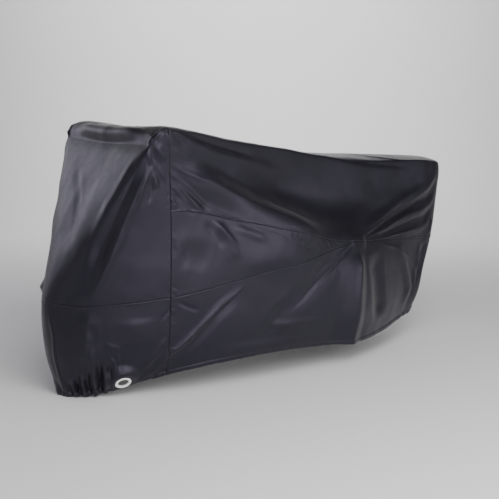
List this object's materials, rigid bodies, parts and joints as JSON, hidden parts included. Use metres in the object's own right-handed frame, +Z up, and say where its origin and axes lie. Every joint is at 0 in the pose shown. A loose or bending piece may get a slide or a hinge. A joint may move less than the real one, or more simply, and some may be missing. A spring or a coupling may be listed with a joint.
{
  "type": "bicycle cover",
  "caption": "Fitted all-over cover of thin dark cloth for a bicycle or light motorcycle, with a hood over the handlebar, a skirt drawn in at the hem and lock eyelets at the front.",
  "frame": {"origin": "on the floor under the middle of the cover's box: the lowest point of the front hem is at z = 0", "axes": "+X towards the back of the vehicle, -X its front; -Y the vehicle's left side, which the picture shows; +Z up"},
  "size_m": [2.0009, 0.7682, 1.0503],
  "materials": {
    "coated_cloth": "satin, coated on the inside, very dark blue-grey",
    "white_plastic": "satin"
  },
  "bodies": {
    "root": {"hood": "coated_cloth", "body": "coated_cloth", "wedge_left": "coated_cloth", "wedge_right": "coated_cloth", "skirt_front": "coated_cloth", "skirt_back": "coated_cloth", "eyelet_left": "white_plastic", "eyelet_right": "white_plastic"}
  },
  "joints": []
}
